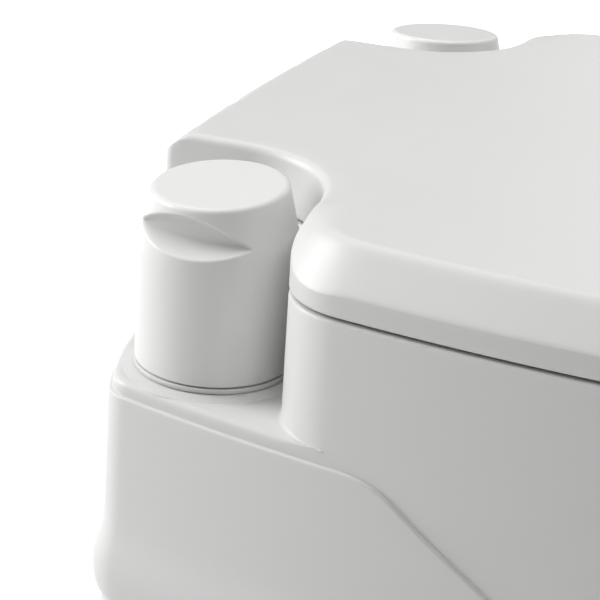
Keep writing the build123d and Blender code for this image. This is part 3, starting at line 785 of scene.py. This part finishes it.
def knuckle(name, x0, x1):
    """Hinge knuckle that hangs under the lid, bored for the pin."""

    def field(px, py, pz):
        axis = np.hypot(py - HINGE_Y, pz - HINGE_Z)
        under = np.maximum(HINGE_Z - pz, pz - lid_top(px, py) + 2.0)
        stem = np.maximum(np.abs(py - HINGE_Y) - KNUCKLE_R, under)
        body = np.minimum(axis - KNUCKLE_R, stem)
        body = rounded(body, np.abs(px - (x0 + x1) / 2) - (x1 - x0) / 2, 0.8)
        return np.maximum(body, KNUCKLE_HOLE - axis)

    return solid(name, field, (x0, 184, 302), (x1, 202, 327), 0.9)


for k, span in enumerate((LID_KNUCKLE, (-LID_KNUCKLE[1], -LID_KNUCKLE[0]))):
    add_piece(knuckle(f"lid_knuckle_{k}", *span), "lid", "lid_white")


# ---------------------------------------------------------------- pump knob and filler cap

KNOB_R, SHOULDER = 29.8, 308.4
TAPER = 0.2335                      # of the head, above the shoulder
FACE = 328.1
FACE_FALL = (0.072, 0.037)          # how the face falls outwards and rearwards
NOTCH_FALL = math.radians(22)       # of the notch's floor
NOTCH_WALL, NOTCH_ROOF = 19.8, 322.8
KNOB_BORE = 27.0
LIP_R, LIP_BORE, LIP_HEIGHT = 28.6, 24.4, 5.0


def knob_field(u, v, z):
    """Knob about its own axis; u points outwards, to the side with the finger notch."""
    radius = np.hypot(u, v)
    cone = (radius - KNOB_R + TAPER * (z - SHOULDER)) * math.cos(math.atan(TAPER))
    outer = soft_max(radius - KNOB_R, cone, 1.2)
    face = z - (FACE - FACE_FALL[0] * u - FACE_FALL[1] * v)
    body = rounded(rounded(outer, face, 1.7), KNOB_BOTTOM - z, 0.7)
    # finger notch: curved back wall, arched roof, floor that falls outwards
    wall = NOTCH_WALL - (v + 5) ** 2 / 140 - u
    roof = 0.9 * (z - NOTCH_ROOF + 0.0125 * (v - 4) ** 2 - 0.27 * (u - 26))
    floor = (SHOULDER - z + (KNOB_R - 0.5 - u) * math.tan(NOTCH_FALL)) * math.cos(NOTCH_FALL)
    body = soft_max(body, -rounded(rounded(roof, wall, 2.0), floor, 0.9), 0.8)
    # hollow underside with an inner lip at its mouth
    hollow = np.maximum(radius - KNOB_BORE, z - SHOULDER + 4.0)
    lip = np.maximum(radius - LIP_R, LIP_BORE - radius)
    lip = np.maximum(lip, np.maximum(KNOB_BOTTOM - z, z - KNOB_BOTTOM - LIP_HEIGHT))
    return np.minimum(np.maximum(body, -hollow), lip)


def knob(name, side):
    """Knob in the pocket on the given side, its notch facing outwards."""
    x = side * abs(KNOB_X)

    def field(px, py, pz):
        return knob_field(side * (px - x), py - KNOB_Y, pz)

    return solid(name, field, (x - 30, KNOB_Y - 30, KNOB_BOTTOM), (x + 30, KNOB_Y + 30, 331), 0.7)


stand_for(knob("pump_knob", -1), "pump_handle", "pump_handle")
stand_for(knob("filler_knob", 1), "fill_cap", "fill_cap")

# Collar under the pump knob: (radius, height above the ledge)
COLLAR = (
    (24.6, -2), (34.5, -2), (34.5, -0.3), (34.2, 0.02), (33.4, 0.16), (32.5, 0.42), (31.5, 0.85),
    (30.6, 1.2), (30.1, 1.3), (29.2, 1.3), (29.2, 1.75), (29.7, 1.75), (29.95, 1.9), (30.0, 2.2),
    (30.0, 3.0), (29.9, 3.3), (29.6, 3.45), (28.0, 3.45), (24.6, 3.45),
)


def collar():
    """Closed ring turned from the profile, which is listed with the solid on its left."""
    skin = Skin()
    rows = [skin.row(oval(r, r, (KNOB_X, KNOB_Y), LEDGE + z, 128)) for r, z in COLLAR]
    skin.bands(rows + rows[:1])
    return skin.build("knob_collar")


stand_for(collar(), "base", "pump_collar")


# ---------------------------------------------------------------- camera, lights, floor

CAMERA_AT = (-0.73325, -0.10244, 0.55267)
AZIMUTH, ELEVATION, ROLL = -69.185, 22.209, -3.55
LENS = 115.03


def add_camera():
    azimuth, elevation, roll = (math.radians(v) for v in (AZIMUTH, ELEVATION, ROLL))
    flat = math.cos(elevation)
    back = Vector((math.sin(azimuth) * flat, -math.cos(azimuth) * flat, math.sin(elevation)))
    level = (-back).cross(Vector((0, 0, 1))).normalized()
    upright = level.cross(-back)
    right = math.cos(roll) * level - math.sin(roll) * upright
    up = math.sin(roll) * level + math.cos(roll) * upright
    data = bpy.data.cameras.new("camera")
    data.lens, data.sensor_width = LENS, 36.0
    data.clip_start, data.clip_end = 0.02, 60.0
    camera = bpy.data.objects.new("camera", data)
    camera.matrix_world = Matrix.Translation(CAMERA_AT) @ Matrix((right, up, back)).transposed().to_4x4()
    bpy.context.scene.collection.objects.link(camera)
    bpy.context.scene.camera = camera
    bpy.context.scene.view_settings.view_transform = "Standard"


def soft_light(name, place, target, size, power):
    data = bpy.data.lights.new(name, "AREA")
    data.shape, data.size, data.energy = "SQUARE", size, power
    obj = bpy.data.objects.new(name, data)
    obj.location = place
    obj.rotation_euler = (Vector(target) - Vector(place)).to_track_quat("-Z", "Y").to_euler()
    bpy.context.scene.collection.objects.link(obj)


add_camera()
soft_light("key", (-0.5, 2.6, 1.3), (0, 0.05, 0.2), 1.4, 60)
soft_light("top", (0.2, 0.2, 3.0), (0.2, 0.2, 0), 3.6, 85)
soft_light("fill_left", (-2.6, -0.9, 1.2), (0, 0, 0.15), 1.8, 3)
soft_light("fill_front", (0.6, -2.6, 1.4), (0, 0, 0.15), 2.2, 9)
soft_light("fill_right", (2.6, -0.2, 1.4), (0, 0, 0.15), 2.0, 9)

world = bpy.data.worlds.new("world")
bpy.context.scene.world = world
world.use_nodes = True
world.node_tree.nodes["Background"].inputs["Color"].default_value = (1, 1, 1, 1)
world.node_tree.nodes["Background"].inputs["Strength"].default_value = 0.04

# Painted glow: the floor's emission rises behind the object and stands in for a white backdrop.
FLOOR_HALF = 14.0
GLOW_ALONG = (0.935, 0.355, 0)      # the floor brightens this way, behind the object
GLOW_FROM, GLOW_TO, GLOW = 0.15, 1.25, 0.55


def floor_paint_and_glow():
    """Pale paint with a painted glow: emission that brightens the floor behind the object so that the
    background is white.
    """
    m = plastic("floor_paint_and_glow", (0.85, 0.85, 0.85), 0.8, 0.1, 0.005, specular=0.2)
    nodes, links = m.node_tree.nodes, m.node_tree.links
    shader = nodes["Principled BSDF"]
    shader.inputs["Emission Color"].default_value = (1, 1, 1, 1)
    place = nodes.new("ShaderNodeTexCoord")
    reach = nodes.new("ShaderNodeVectorMath")
    reach.operation = "DOT_PRODUCT"
    reach.inputs[1].default_value = GLOW_ALONG
    glow = nodes.new("ShaderNodeMapRange")
    glow.inputs["From Min"].default_value = GLOW_FROM
    glow.inputs["From Max"].default_value = GLOW_TO
    glow.inputs["To Max"].default_value = GLOW
    links.new(place.outputs["Object"], reach.inputs[0])
    links.new(reach.outputs["Value"], glow.inputs["Value"])
    # the painted glow: emission strength grows along GLOW_ALONG
    links.new(glow.outputs["Result"], shader.inputs["Emission Strength"])
    return m


floor_mesh = bpy.data.meshes.new("floor")
h = FLOOR_HALF
floor_mesh.from_pydata([(-h, -h, 0), (h, -h, 0), (h, h, 0), (-h, h, 0)], [], [(0, 1, 2, 3)])
floor_mesh.materials.append(floor_paint_and_glow())
floor = bpy.data.objects.new("floor", floor_mesh)
bpy.context.scene.collection.objects.link(floor)
